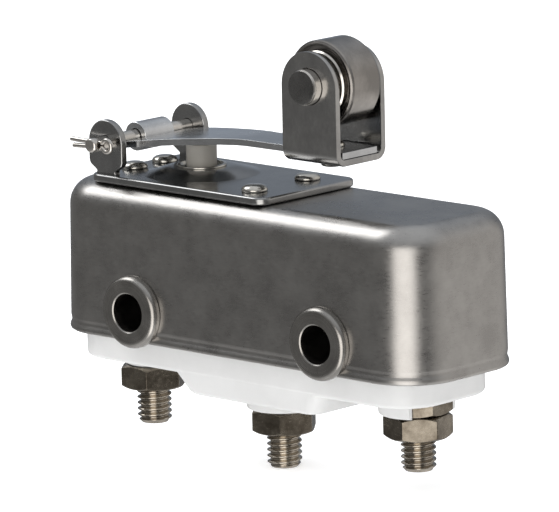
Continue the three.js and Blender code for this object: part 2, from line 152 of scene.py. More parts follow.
def prism(name, outline, low, high, plane="xy"):
    """A straight prism; plane xz draws the outline in X and Z and runs along Y, yz runs along X."""
    orders = {
        "xy": lambda u, v, w: (u, v, w),
        "xz": lambda u, v, w: (u, w, v),
        "yz": lambda u, v, w: (w, u, v),
    }
    order = orders[plane]
    return loft(name, [[order(u, v, w) for u, v in outline] for w in (low, high)])


def bake(obj):
    """Applies every modifier."""
    graph = bpy.context.evaluated_depsgraph_get()
    graph.update()
    mesh = bpy.data.meshes.new_from_object(obj.evaluated_get(graph))
    obj.modifiers.clear()
    old = obj.data
    obj.data = mesh
    bpy.data.meshes.remove(old)
    return obj


def combine(obj, operation, *tools):
    """Applies one exact boolean for each tool, and removes the tools."""
    for tool in tools:
        modifier = obj.modifiers.new("combine", "BOOLEAN")
        modifier.operation, modifier.solver, modifier.object = operation, "EXACT", tool
    bake(obj)
    for tool in tools:
        bpy.data.objects.remove(tool)
    return obj


def cut(obj, *tools):
    return combine(obj, "DIFFERENCE", *tools)


def join(obj, *tools):
    return combine(obj, "UNION", *tools)


def soften(obj, width, segments=3, angle=30):
    """Rounds the edges that are sharper than angle."""
    modifier = obj.modifiers.new("soften", "BEVEL")
    modifier.width, modifier.segments = width * MM, segments
    modifier.limit_method, modifier.angle_limit = "ANGLE", math.radians(angle)
    modifier.use_clamp_overlap = True
    return bake(obj)


def hole(axis, radius, low, high, at, segments=64):
    """A drill along Z or Y; at is its centre in the other two directions."""
    profile = [(0, low), (radius, low), (radius, high), (0, high)]
    return turned("tool", profile, at, axis, segments)


def piece(obj, body, slot, material, *nodes, crease=35):
    """Shades a finished mesh and hangs it on its body."""
    obj.data.materials.clear()
    obj.data.materials.append(material)
    for polygon in obj.data.polygons:
        polygon.use_smooth = True
        polygon.material_index = 0
    obj.data.set_sharp_from_angle(angle=math.radians(crease))
    modifier = obj.modifiers.new("normals", "WEIGHTED_NORMAL")
    modifier.keep_sharp = True
    bake(obj)
    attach(obj, body)
    if nodes:
        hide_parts(*nodes)
    return obj


# Materials
def node_tree(name):
    material = bpy.data.materials.new(name)
    material.use_nodes = True
    tree = material.node_tree
    return material, tree, tree.nodes["Principled BSDF"]


def noise(tree, stretch, detail=4.0, roughness=0.55, offset=(0, 0, 0)):
    """Noise in object space; stretch is how many cells fit in one millimetre along X, Y and Z."""
    coordinates = tree.nodes.new("ShaderNodeTexCoord")
    mapping = tree.nodes.new("ShaderNodeMapping")
    mapping.inputs["Scale"].default_value = [s / MM for s in stretch]
    mapping.inputs["Location"].default_value = offset
    texture = tree.nodes.new("ShaderNodeTexNoise")
    texture.inputs["Scale"].default_value = 1.0
    texture.inputs["Detail"].default_value = detail
    texture.inputs["Roughness"].default_value = roughness
    tree.links.new(coordinates.outputs["Object"], mapping.inputs["Vector"])
    tree.links.new(mapping.outputs["Vector"], texture.inputs["Vector"])
    return texture.outputs["Fac"]


def remap(tree, value, low, high, start=0.3, end=0.7):
    node = tree.nodes.new("ShaderNodeMapRange")
    node.inputs["From Min"].default_value, node.inputs["From Max"].default_value = start, end
    node.inputs["To Min"].default_value, node.inputs["To Max"].default_value = low, high
    tree.links.new(value, node.inputs["Value"])
    return node.outputs["Result"]


def math_node(tree, operation, a, b):
    node = tree.nodes.new("ShaderNodeMath")
    node.operation = operation
    for socket, value in zip(node.inputs, (a, b)):
        if isinstance(value, (int, float)):
            socket.default_value = value
        else:
            tree.links.new(value, socket)
    return node.outputs[0]


def weighted(tree, a, a_share, b, b_share):
    """The sum of two values, each times its share."""
    parts = [math_node(tree, "MULTIPLY", value, share) for value, share in ((a, a_share), (b, b_share))]
    return math_node(tree, "ADD", *parts)


def blend_colours(tree, factor, dark, light):
    node = tree.nodes.new("ShaderNodeMix")
    node.data_type = "RGBA"
    node.inputs["A"].default_value = (*dark, 1)
    node.inputs["B"].default_value = (*light, 1)
    tree.links.new(factor, node.inputs["Factor"])
    return node.outputs["Result"]


def rings_about(tree, centre, axis, cells):
    """Noise that depends only on the distance from a turning axis, as tool marks do."""
    coordinates = tree.nodes.new("ShaderNodeTexCoord")
    mapping = tree.nodes.new("ShaderNodeMapping")
    flat = (1, 0, 1) if axis == "y" else (1, 1, 0)
    shift = put(*centre)
    mapping.inputs["Location"].default_value = [-s * f for s, f in zip(shift, flat)]
    mapping.inputs["Scale"].default_value = flat
    length = tree.nodes.new("ShaderNodeVectorMath")
    length.operation = "LENGTH"
    texture = tree.nodes.new("ShaderNodeTexNoise")
    texture.noise_dimensions = "1D"
    texture.inputs["Scale"].default_value = cells / MM
    texture.inputs["Detail"].default_value = 3.0
    tree.links.new(coordinates.outputs["Object"], mapping.inputs["Vector"])
    tree.links.new(mapping.outputs["Vector"], length.inputs[0])
    tree.links.new(length.outputs["Value"], texture.inputs["W"])
    return texture.outputs["Fac"]


def metal(name, dark, light, rough, grain=(0.5, 0.5, 9), height=0.006, patch=0.25, turning=None):
    """Worked metal: grain is the brushing, patch sets the stains' size, height the marks' depth in mm."""
    material, tree, shader = node_tree(name)
    marks = rings_about(tree, *turning) if turning else noise(tree, grain, 3)
    stains = noise(tree, (patch, patch, patch), 6, 0.65, (3, 1, 2))
    speck = noise(tree, (6, 6, 6), 2, 0.5, (7, 5, 1))
    tone = weighted(tree, stains, 0.8, marks, 0.2)
    tree.links.new(blend_colours(tree, remap(tree, tone, 0, 1, 0.38, 0.62), dark, light),
                   shader.inputs["Base Color"])
    wobble = weighted(tree, marks, 0.5, stains, 0.5)
    tree.links.new(remap(tree, wobble, rough * 0.8, rough * 1.25, 0.35, 0.65), shader.inputs["Roughness"])
    shader.inputs["Metallic"].default_value = 1.0
    bump = tree.nodes.new("ShaderNodeBump")
    bump.inputs["Strength"].default_value = 0.6
    bump.inputs["Distance"].default_value = height * MM
    relief = math_node(tree, "ADD", marks, math_node(tree, "MULTIPLY", speck, 0.5))
    tree.links.new(relief, bump.inputs["Height"])
    tree.links.new(bump.outputs["Normal"], shader.inputs["Normal"])
    return material


def mineral(name, dark, light, rough, height=0.02, gloss=0.5):
    """Moulded or fired material with a faint orange-peel surface and slight stains."""
    material, tree, shader = node_tree(name)
    stains = noise(tree, (0.15, 0.15, 0.15), 5, 0.6, (2, 4, 1))
    peel = noise(tree, (1.6, 1.6, 1.6), 3, 0.5)
    tree.links.new(blend_colours(tree, remap(tree, stains, 0, 1), dark, light), shader.inputs["Base Color"])
    tree.links.new(remap(tree, peel, rough * 0.85, rough * 1.2), shader.inputs["Roughness"])
    shader.inputs["Specular IOR Level"].default_value = gloss
    bump = tree.nodes.new("ShaderNodeBump")
    bump.inputs["Strength"].default_value = 0.5
    bump.inputs["Distance"].default_value = height * MM
    tree.links.new(peel, bump.inputs["Height"])
    tree.links.new(bump.outputs["Normal"], shader.inputs["Normal"])
    return material


CAN_STEEL = metal("can_steel", (0.33, 0.32, 0.31), (0.42, 0.41, 0.395), 0.3,
                  grain=(1.6, 1.6, 7), height=0.008)
PLATE_STEEL = metal("plate_steel", (0.28, 0.28, 0.28), (0.38, 0.38, 0.375), 0.2,
                    grain=(3, 5, 5), height=0.002)
RIVET_STEEL = metal("rivet_steel", (0.5, 0.48, 0.44), (0.66, 0.64, 0.59), 0.16,
                    grain=(3, 3, 3), height=0.002)
LEVER_STEEL = metal("lever_steel", (0.5, 0.51, 0.52), (0.62, 0.63, 0.64), 0.22,
                    grain=(1.5, 5, 5), height=0.003)
BRACKET_STEEL = metal("bracket_steel", (0.34, 0.335, 0.33), (0.44, 0.435, 0.425), 0.2,
                      grain=(4, 4, 1.5), height=0.002)
PIN_STEEL = metal("pin_steel", (0.5, 0.48, 0.45), (0.66, 0.63, 0.59), 0.17,
                  grain=(5, 1, 5), height=0.002)
AXLE_STEEL = metal("axle_steel", (0.14, 0.138, 0.135), (0.24, 0.235, 0.23), 0.26,
                   grain=(5, 5, 5), height=0.003)
NICKEL = metal("terminal_nickel", (0.13, 0.11, 0.085), (0.29, 0.257, 0.21), 0.24,
               grain=(2, 2, 4), height=0.004, patch=0.5)
STUD_NICKEL = metal("stud_nickel", (0.3, 0.27, 0.23), (0.5, 0.455, 0.39), 0.18,
                    grain=(2, 2, 4), height=0.002)
ROLLER_STEEL = metal("roller_steel", (0.24, 0.228, 0.215), (0.36, 0.34, 0.32), 0.22,
                     turning=((ROLLER_X, 0, ROLLER_Z), "y", 6), height=0.002)
# Painted shade: a near-black copy of steel laid on the bush bores' inner walls, standing in for the shade
# inside the holes
BORE_SHADE = metal("bore_painted_shade", (0.03, 0.028, 0.026), (0.06, 0.055, 0.05), 0.5, grain=(2, 2, 2))
SILVER = metal("contact_silver", (0.8, 0.78, 0.74), (0.92, 0.9, 0.86), 0.2, grain=(2, 2, 2))
SPRING = metal("spring_alloy", (0.66, 0.42, 0.2), (0.8, 0.55, 0.3), 0.25, grain=(0.5, 6, 6))
CERAMIC = mineral("ceramic", (0.63, 0.63, 0.625), (0.7, 0.7, 0.695), 0.38)
PLUNGER_CERAMIC = mineral("plunger_ceramic", (0.32, 0.31, 0.28), (0.42, 0.4, 0.365), 0.5,
                          height=0.01, gloss=0.35)


def carry(material, *names):
    """Gives a CAD node that stays in view its finished material."""
    for name in names:
        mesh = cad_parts[name].data
        mesh.materials.clear()
        mesh.materials.append(material)


# The camera
def make_camera():
    data = bpy.data.cameras.new("camera")
    data.lens, data.sensor_width, data.sensor_fit = 420.34, 36, "HORIZONTAL"
    data.clip_start, data.clip_end = 0.05, 10
    camera = bpy.data.objects.new("camera", data)
    scene.collection.objects.link(camera)
    eye, aim = put(433.652, -465.035, 134.862), put(-1.571, 0.957, 8.642)
    camera.rotation_mode = "QUATERNION"
    camera.location = eye
    roll = Quaternion((0, 0, 1), math.radians(-1.252))
    camera.rotation_quaternion = (aim - eye).to_track_quat("-Z", "Y") @ roll
    scene.camera = camera


# The can
def can_ring(inset, z):
    """The can's outline at height z, moved inwards by inset."""
    half_length, half_width = CAN_LENGTH / 2 - inset, CAN_WIDTH / 2 - inset
    outline = rounded_rect(-half_length, half_length, -half_width, half_width, CAN_CORNER - inset, 20)
    return [(x, y, z) for x, y in outline]


def make_can():
    # The rolled lip, from its inner edge round the bottom to the wall: (inset, height)
    lip = [(0.8, 0.55), (0.76, 0.28), (0.62, 0.08), (0.42, 0.0), (0.22, 0.03), (0.07, 0.13), (0.0, 0.3),
           (0.0, 0.42), (0.05, 0.6), (0.13, 0.78), (0.18, 0.95), (0.17, 1.12), (0.13, 1.3),
           (CAN_WALL_INSET, 1.5)]
    wall_top = CAN_HEIGHT - CAN_TOP_EDGE
    rings = [can_ring(inset, z) for inset, z in lip]
    start = CAN_WALL_INSET + CAN_DRAFT
    rings += [can_ring(start - CAN_DRAFT / 2, 7.0), can_ring(start, wall_top)]
    for step in range(1, 11):
        angle = math.radians(9 * step)
        rings.append(can_ring(start + (CAN_TOP_EDGE - start * 0.4) * (1 - math.cos(angle)),
                              wall_top + CAN_TOP_EDGE * math.sin(angle)))
    inner_edge = CAN_TOP_EDGE - CAN_WALL
    inner_top = CAN_HEIGHT - CAN_WALL
    inner = [can_ring(CAN_WALL + 0.2, inner_top - inner_edge)]
    for step in range(1, 7):
        angle = math.radians(15 * step)
        inner.append(can_ring(CAN_WALL + 0.2 + inner_edge * (1 - math.cos(angle)),
                              inner_top - inner_edge + inner_edge * math.sin(angle)))
    shell = loft("can", inner[::-1] + rings)
    tools = [hole("z", PLUNGER_OPENING, CAN_HEIGHT - 3, CAN_HEIGHT + 1, (PLUNGER_X, 0))]
    tools += [hole("y", BUSH_TUBE + 0.1, -CAN_WIDTH, CAN_WIDTH, (x, BUSH_Z)) for x in BUSH_X]
    tools += [hole("z", RIVET_HOLE, CAN_HEIGHT - 3, CAN_HEIGHT + 1, at, 32) for at in RIVETS]
    piece(cut(shell, *tools), "base", "can_steel", CAN_STEEL, "case_shell", crease=30)


def make_bushes():
    face = CAN_WIDTH / 2
    end = face + BUSH_PROUD
    for name, x in zip(("left", "right"), BUSH_X):
        half = [(BUSH_BORE, end - 1.2), (BUSH_BORE, end - 0.2), (BUSH_BORE + 0.05, end - 0.08),
                (BUSH_BORE + 0.17, end)]
        half += arc(BUSH_FLANGE - 0.6, end - 0.6, 0.6, 90, 0, 8)
        half += [(BUSH_FLANGE, face - 0.05), (BUSH_FLANGE - 0.12, face - 0.2), (BUSH_TUBE, face - 0.2)]
        profile = half + [(r, -h) for r, h in reversed(half)]
        steel = metal(f"bush_steel_{name}", (0.27, 0.26, 0.245), (0.4, 0.385, 0.365), 0.24,
                      turning=((x, 0, BUSH_Z), "y", 9), height=0.004)
        bush = piece(turned(f"bush_{name}", profile, (x, BUSH_Z), "y", 96), "base", "bush_steel", steel,
                     f"mounting_bush_{name}", crease=25)
        # Faces inside the bore get the painted shade material, darkening the hole where shade falls
        bush.data.materials.append(BORE_SHADE)
        for polygon in bush.data.polygons:
            away = (polygon.center - put(x, polygon.center.y / MM, BUSH_Z)).length / MM
            if away < BUSH_BORE + 0.01:
                polygon.material_index = 1


# The ceramic base
def block(name, x0, x1, half, corner, bottom, top, edge=0.35, lean=0.0, lean_right=0.0):
    """A rounded block with a rounded bottom edge; its ends may lean outwards towards the top."""
    rings = []
    for step in range(5):
        angle = math.radians(90 * step / 4)
        inset = edge * (1 - math.sin(angle))
        z = bottom + edge * (1 - math.cos(angle))
        rings.append((inset, z))
    rings.append((0.0, top))
    out = []
    for inset, z in rings:
        share = (z - bottom) / (top - bottom)
        outline = rounded_rect(x0 + inset - lean * share, x1 - inset + lean_right * share, -half + inset,
                               half - inset, corner - inset, 10)
        out.append([(x, y, z) for x, y in outline])
    return loft(name, out)


def make_base():
    body = block("ceramic_base", BASE_LEFT, BASE_RIGHT, 7.0, BASE_CORNER, BASE_BOTTOM, 1.0, edge=0.45)
    parts = [
        block("tool", -7.4, 10.0, 6.9, 1.6, -4.8, -1.0, edge=0.4, lean=4.0, lean_right=1.5),
        prism("tool", rounded_rect(-RIM_HALF, RIM_HALF, -7.45, 7.45, BASE_CORNER), 0.3, 0.98),
    ]
    for terminal in TERMINALS.values():
        x, boss, radius = terminal["x"], terminal["boss"], terminal["radius"]
        flare = [(0, boss)] + arc(radius - 0.3, boss + 0.3, 0.3, -90, 0, 4)
        flare += [(radius + 0.12, BASE_BOTTOM), (radius + 0.1, 0.5), (0, 0.5)]
        parts.append(turned("tool", flare, (x, 0), "z", 64))
    join(body, *parts)
    tools = [hole("z", STUD_RADIUS + 0.1, -20, 10, (t["x"], 0), 48) for t in TERMINALS.values()]
    tools += [hole("y", BUSH_TUBE + 0.3, -20, 20, (x, BUSH_Z), 48) for x in BUSH_X]
    # Room for the locknut: its own hole, and the right-hand side of the boss cut away
    nc = TERMINALS["nc"]
    left, right = nc["x"] + 1.9, nc["x"] + 6
    tools.append(prism("tool", [(left, -6), (right, -6), (right, 6), (left, 6)], nc["boss"] - 1, BASE_BOTTOM))
    tools.append(hole("z", NUT_ACROSS / math.sqrt(3) + 0.08, nc["boss"] - 1, BASE_BOTTOM, (nc["x"], 0), 48))
    piece(cut(body, *tools), "base", "ceramic", CERAMIC, "terminal_base", crease=40)


# Terminals
def thread_radius(phase):
    """Radius of a worn 60 degree thread at a phase between 0 and 1 along the pitch."""
    ramp = abs(phase - 0.5) * 2
    depth = min(max((ramp - 0.16) / 0.66, 0.0), 1.0)
    return STUD_RADIUS - THREAD_DEPTH * depth


def make_stud(name, x, end, boss):
    segments, steps = 48, 10
    threaded = boss + 0.5 - end
    rows = int(threaded / THREAD_PITCH * steps)
    verts, rings = [(x, 0, end)], [[0]]
    for row in range(rows + 1):
        z = end + threaded * row / rows
        ring = []
        for i in range(segments):
            turn = i / segments
            radius = thread_radius((z / THREAD_PITCH - turn) % 1.0)
            radius = min(radius, STUD_RADIUS - 0.42 + (z - end) * 0.9)
            ring.append(len(verts))
            angle = 2 * math.pi * turn
            verts.append((x + radius * math.cos(angle), radius * math.sin(angle), z))
        rings.append(ring)
    shank = [(STUD_RADIUS - THREAD_DEPTH, boss + 0.55), (STUD_RADIUS, boss + 0.8), (STUD_RADIUS, STUD_TOP)]
    for radius, z in shank:
        ring = []
        for i in range(segments):
            angle = 2 * math.pi * i / segments
            ring.append(len(verts))
            verts.append((x + radius * math.cos(angle), radius * math.sin(angle), z))
        rings.append(ring)
    verts.append((x, 0, STUD_TOP))
    rings.append([len(verts) - 1])
    stud = mesh_object(f"stud_{name}", verts, bridge(rings, False))
    piece(stud, "base", "terminal_nickel", STUD_NICKEL, f"terminal_stud_{name}", crease=50)


def make_nut(name, node, x, top, height, turn):
    corner = NUT_ACROSS / math.sqrt(3)
    angles = [math.radians(turn + 60 * k) for k in range(6)]
    outline = [(x + corner * math.cos(angle), corner * math.sin(angle)) for angle in angles]
    nut = prism(name, outline, top - height, top)
    flat = NUT_ACROSS / 2
    drop = (corner - flat + 0.12) * math.tan(math.radians(30))
    barrel = [(0, top - height), (flat - 0.12, top - height), (corner + 0.02, top - height + drop),
              (corner + 0.02, top - drop), (flat - 0.12, top), (0, top)]
    combine(nut, "INTERSECT", turned("tool", barrel, (x, 0), "z", 96))
    bore = [(0, top - height - 1), (NUT_BORE + 1.3, top - height - 1), (NUT_BORE, top - height + 0.3),
            (NUT_BORE, top - 0.3), (NUT_BORE + 1.3, top + 1), (0, top + 1)]
    cut(nut, turned("tool", bore, (x, 0), "z", 64))
    piece(soften(nut, 0.07, 2, 20), "base", "terminal_nickel", NICKEL, node, crease=25)


def make_terminals():
    for name, t in TERMINALS.items():
        make_stud(name, t["x"], t["end"], t["boss"])
        make_nut(f"nut_{name}", f"terminal_nut_{name}", t["x"], t["boss"] - GAP, NUT_HEIGHT, t["turn"])
    make_nut("locknut_nc", "terminal_locknut_nc", TERMINALS["nc"]["x"], BASE_BOTTOM - GAP,
             LOCKNUT_HEIGHT, LOCKNUT_TURN)


# Hinge plate, rivets and plunger
def ear_outline():
    shape = [(HINGE_X - 1.6, PLATE_BOTTOM + 0.3), (HINGE_X - 1.3, PLATE_TOP + 0.1), (HINGE_X - 1.25, 16.5),
             (HINGE_X - 1.6, 16.75), (HINGE_X - 2.15, 17.1), (HINGE_X - 2.3, 17.5)]
    right = [(2 * HINGE_X - x, z) for x, z in shape]
    return shape + arc(HINGE_X, HINGE_Z, 2.3, 180, 0, 28) + right[::-1]


def make_plate():
    outline = rounded_rect(PLATE_LEFT, PLATE_RIGHT, -PLATE_HALF, PLATE_HALF, PLATE_CORNER, 12)
    plate = soften(prism("hinge_plate_sheet", outline, PLATE_BOTTOM, PLATE_TOP), 0.24, 4)
    slope = [(6.25, -0.03), (6.05, 0.0), (5.75, 0.05), (5.3, 0.18), (4.2, 0.5), (3.6, 0.64), (3.2, 0.69),
             (2.75, 0.7), (0, 0.7)]
    cone = [(0, PLATE_BOTTOM + 0.2), (6.25, PLATE_BOTTOM + 0.2)] + [(r, PLATE_TOP + h) for r, h in slope]
    parts = [turned("tool", cone, (PLUNGER_X, 0), "z", 96)]
    for low in (-EAR_OUTER, EAR_OUTER - EAR_THICK):
        parts.append(soften(prism("tool", ear_outline(), low, low + EAR_THICK, "xz"), 0.14, 3))
    join(plate, *parts)
    tools = [hole("z", PLUNGER_OPENING, 0, 30, (PLUNGER_X, 0))]
    tools.append(hole("y", PIN_RADIUS + 0.05, -10, 10, (HINGE_X, HINGE_Z), 48))
    tools += [hole("z", RIVET_HOLE, 0, 18, at, 32) for at in RIVETS]
    piece(cut(plate, *tools), "base", "plate_steel", PLATE_STEEL, "hinge_plate", crease=28)
    seat, under = PLATE_TOP + GAP, CAN_HEIGHT - CAN_WALL - GAP
    for number, at in enumerate(RIVETS, 1):
        profile = [(0, under - 0.25), (1.1, under - 0.25), (1.15, under - 0.2), (1.15, under), (0.7, under),
                   (0.7, seat), (1.28, seat), (1.32, seat + 0.06), (1.3, seat + 0.2), (1.2, seat + 0.38),
                   (1.0, seat + 0.53), (0.7, seat + 0.62), (0.35, seat + 0.65), (0, seat + 0.65)]
        piece(turned(f"rivet_{number}", profile, at, "z", 48), "base", "plate_steel", RIVET_STEEL,
              f"plate_rivet_{number}", crease=50)


def make_plunger():
    top, low, r = PLUNGER_TOP, PLUNGER_BOTTOM, PLUNGER_RADIUS
    profile = [(0, low), (0.25, low), (0.36, low + 0.06), (r - 0.1, low + 1.5), (r, low + 1.7)]
    profile += [(r, top - 0.26), (r - 0.06, top - 0.18), (r - 0.25, top - 0.12), (0.9, top - 0.05),
                (0.4, top - 0.01), (0, top)]
    piece(turned("plunger_rod", profile, (PLUNGER_X, 0)), "plunger", "plunger_ceramic", PLUNGER_CERAMIC,
          "plunger")
    inner, outer, ring = 1.62, 2.35, 2.5
    collar = [(inner, 13.0), (outer, 13.0), (outer, PLATE_TOP + 0.71), (ring, PLATE_TOP + 0.71)]
    collar += arc(ring - 0.1, PLATE_TOP + 0.83, 0.12, -30, 90, 4)
    collar += [(2.2, PLATE_TOP + 0.95), (2.05, 16.98), (1.9, 16.86), (1.75, 16.84), (inner, 16.9)]
    piece(turned("plunger_collar", collar, (PLUNGER_X, 0), "z", 96), "base", "plate_steel", RIVET_STEEL,
          "plunger_guide", crease=50)


def tube(name, points, radius, cyclic=False):
    curve = bpy.data.curves.new(name, "CURVE")
    curve.dimensions = "3D"
    curve.bevel_depth, curve.bevel_resolution = radius * MM, 4
    curve.use_fill_caps = True
    spline = curve.splines.new("POLY")
    spline.points.add(len(points) - 1)
    for target, point in zip(spline.points, points):
        target.co = (*put(*point), 1)
    spline.use_cyclic_u = cyclic
    holder = bpy.data.objects.new(name, curve)
    scene.collection.objects.link(holder)
    graph = bpy.context.evaluated_depsgraph_get()
    graph.update()
    mesh = bpy.data.meshes.new_from_object(holder.evaluated_get(graph))
    bpy.data.objects.remove(holder)
    obj = bpy.data.objects.new(name, mesh)
    scene.collection.objects.link(obj)
    work = bmesh.new()
    work.from_mesh(mesh)
    bmesh.ops.remove_doubles(work, verts=work.verts, dist=1e-7)
    bmesh.ops.recalc_face_normals(work, faces=work.faces)
    work.to_mesh(mesh)
    work.free()
    return obj


def make_hinge_pin():
    r, front, back = PIN_RADIUS, -8.6, 7.2
    profile = [(0, front), (r - 0.25, front), (r - 0.1, front + 0.06), (r, front + 0.22), (r, back - 0.72)]
    profile += [(1.02, back - 0.72), (1.1, back - 0.6), (1.08, back - 0.25), (0.85, back - 0.06), (0.5, back),
                (0, back)]
    pin = turned("hinge_pin_rod", profile, (HINGE_X, HINGE_Z), "y", 48)
    cut(pin, hole_x(0.53, HINGE_X - 3, HINGE_X + 3, (-7.75, HINGE_Z)))
    piece(pin, "base", "pin_steel", PIN_STEEL, "hinge_pin", crease=40)
    # Split pin: two legs through the pin and an eye on its far side
    y, wire = -7.75, 0.25
    upper, lower = HINGE_Z + 0.26, HINGE_Z - 0.26
    eye = HINGE_X + PIN_RADIUS + 0.85
    points = [(HINGE_X - 3.3, y - 0.03, upper + 0.04), (HINGE_X - 2.2, y, upper + 0.01),
              (HINGE_X - 1.1, y, upper), (HINGE_X + 0.7, y, upper)]
    points += [(cx, y, cz) for cx, cz in arc(eye, HINGE_Z, 0.6, 150, -150, 18)]
    points += [(HINGE_X + 0.7, y, lower), (HINGE_X - 1.1, y, lower), (HINGE_X - 1.8, y, lower - 0.02),
               (HINGE_X - 3.0, y, lower - 0.08)]
    piece(tube("split_pin", points, wire), "base", "pin_steel", PIN_STEEL, "cotter_pin", crease=60)


def hole_x(radius, low, high, at):
    """A drill along X."""
    rings = []
    for x in (low, high):
        rings.append([(x, u, v) for u, v in arc(at[0], at[1], radius, 0, 345, 23)])
    return loft("tool", rings)


# Lever, bracket and roller
def offset_line(points, distance):
    out = []
    for k, (x, z) in enumerate(points):
        (ax, az), (bx, bz) = points[max(k - 1, 0)], points[min(k + 1, len(points) - 1)]
        length = math.hypot(bx - ax, bz - az)
        out.append((x - distance * (bz - az) / length, z + distance * (bx - ax) / length))
    return out


LEVER_RISE = [(ROOT_X, 19.04), (-16.2, 19.22), (-15.0, 19.39), (-13.2, 19.62), (-11.2, 19.85),
              (-9.4, 20.03), (-7.55, 20.2), (-5.6, 20.36), (-3.74, 20.46), (-2.0, 20.485), (0.0, 20.49),
              (1.6, 20.5), (5.0, 20.5), (LEVER_END, 20.5)]


def strip_outline(line):
    half = LEVER_THICK / 2
    return offset_line(line, half) + offset_line(line, -half)[::-1]


def make_lever():
    """A strip tapering from the hinge to the roller, with a central tongue of it curled round the pin."""
    root, half = ROOT_WIDTH / 2, LEVER_WIDTH / 2
    sheet = prism("lever_arm", strip_outline(LEVER_RISE), -root - 0.2, root + 0.2, "xz")
    for side in (-1, 1):
        flank = [(ROOT_X - 1, root - 0.35), (ROOT_X, root - 0.3), (ROOT_X + 0.3, root), (ROOT_X + 2, root),
                 (TAPER_X - 0.6, half + 0.12), (TAPER_X + 0.2, half), (LEVER_END + 1, half),
                 (LEVER_END + 1, 9), (ROOT_X - 1, 9)]
        cut(sheet, prism("tool", [(x, side * y) for x, y in flank], 15, 25))
    soften(sheet, 0.16, 3, 40)
    curl = arc(HINGE_X, HINGE_Z, 1.145, -9, 298, 34)
    curl += [(-16.9, 18.86), (-16.2, 19.18), (-15.5, 19.33), (-14.8, 19.42)]
    join(sheet, soften(prism("tool", strip_outline(curl), -2.0, 2.2, "xz"), 0.1, 3, 40))
    cut(sheet, hole("z", LEVER_RIVET_HOLE, 0, 30, (LEVER_RIVET_X, 0), 32))
    piece(sheet, "lever", "lever_steel", LEVER_STEEL, "lever", crease=28)
    seat = LEVER_RISE[-1][1] + LEVER_THICK / 2 + GAP
    under = BRACKET_TOP - BRACKET_THICK - GAP
    profile = [(0, under - 0.6), (0.9, under - 0.6), (1.05, under - 0.54), (1.28, under - 0.1), (1.28, under),
               (0.9, under), (0.9, seat), (1.26, seat), (1.3, seat + 0.08), (1.22, seat + 0.34),
               (0.98, seat + 0.52), (0.5, seat + 0.6), (0, seat + 0.6)]
    piece(turned("lever_rivet_head", profile, (LEVER_RIVET_X, 0), "z", 48), "lever", "lever_steel",
          RIVET_STEEL, "lever_rivet", crease=50)


def make_bracket():
    outer, thick, bend = BRACKET_OUTER, BRACKET_THICK, 1.25
    bottom, high = BRACKET_TOP - BRACKET_THICK, ROLLER_Z + 5
    outside = [(-outer, high)] + arc(-outer + bend, bottom + bend, bend, 180, 270, 8)
    outside += arc(outer - bend, bottom + bend, bend, 270, 360, 8) + [(outer, high)]
    inside = [(outer - thick, high)] + arc(outer - bend, bottom + bend, bend - thick, 0, -90, 8)
    inside += arc(-outer + bend, bottom + bend, bend - thick, -90, -180, 8) + [(-outer + thick, high)]
    channel = prism("roller_fork", outside + inside, BRACKET_LEFT, BRACKET_RIGHT, "yz")
    middle, half = (BRACKET_LEFT + BRACKET_RIGHT) / 2, (BRACKET_RIGHT - BRACKET_LEFT) / 2
    outline = [(BRACKET_LEFT, bottom - 1), (BRACKET_RIGHT, bottom - 1)]
    outline += arc(middle, DOME_Z, half, 0, 180, 40)
    combine(channel, "INTERSECT", prism("tool", outline, -outer - 1, outer + 1, "xz"))
    cut(channel, hole("y", AXLE_RADIUS + GAP, -10, 10, (ROLLER_X, ROLLER_Z)),
        hole("z", LEVER_RIVET_HOLE, 0, 24, (LEVER_RIVET_X, 0), 32))
    soften(channel, 0.1, 2, 40)
    piece(channel, "lever", "lever_steel", BRACKET_STEEL, "roller_bracket", crease=28)


def make_roller():
    r = ROLLER_RADIUS
    at = (ROLLER_X, ROLLER_Z)

    def side(y, way):
        """One side from the bore out to the tread; way is 1 at the back, -1 at the front."""
        return [(3.45, y - way * 0.55), (3.86, y - way * 0.55), (3.86, y - way * 0.08), (3.92, y),
                (r - 0.3, y), (r - 0.1, y - way * 0.1), (r, y - way * 0.3)]

    profile = side(-1.9, -1) + side(2.3, 1)[::-1]
    piece(turned("roller_wheel", profile, at, "y", 96), "roller", "roller_steel", ROLLER_STEEL, "roller",
          crease=25)
    hub = [(1.86, -2.25), (3.0, -2.25), (3.2, -2.2), (3.35, -2.05), (3.4, -1.85), (3.4, 2.2), (3.35, 2.4),
           (3.2, 2.55), (3.0, 2.6), (1.86, 2.6)]
    piece(turned("roller_bearing", hub, at, "y", 64), "roller", "roller_steel", PIN_STEEL, "roller_hub",
          crease=25)
    radius, end = AXLE_RADIUS, AXLE_END
    half = [(0, end), (radius - 0.3, end), (radius - 0.12, end - 0.06), (radius - 0.02, end - 0.2),
            (radius, end - 0.4)]
    pin = [(out, -y) for out, y in half] + half[::-1]
    axle = piece(turned("roller_axle", pin, at, "y", 64), "lever", "pin_steel", PIN_STEEL, "roller_pin",
                 crease=30)
    axle.data.materials.append(AXLE_STEEL)
    for polygon in axle.data.polygons:
        if abs(polygon.center.y) > (AXLE_END - 0.05) * MM:
            polygon.material_index = 1
    spacer = [(1.86, -2.9), (2.6, -2.9), (2.7, -2.82), (2.7, -2.38), (2.6, -2.3), (1.86, -2.3)]
    piece(turned("axle_washer", spacer, at, "y", 64), "lever", "pin_steel", PIN_STEEL, "roller_spacer",
          crease=25)


# Studio
def stage_material(name, colour, glow):
    material, tree, shader = node_tree(name)
    soft = noise(tree, (0.004, 0.004, 0.004), 2)
    low = tuple(c * 0.985 for c in colour)
    tree.links.new(blend_colours(tree, soft, low, colour), shader.inputs["Base Color"])
    shader.inputs["Roughness"].default_value = 0.9
    shader.inputs["Specular IOR Level"].default_value = 0.1
    shader.inputs["Emission Color"].default_value = (1, 1, 1, 1)
    shader.inputs["Emission Strength"].default_value = glow
    return material


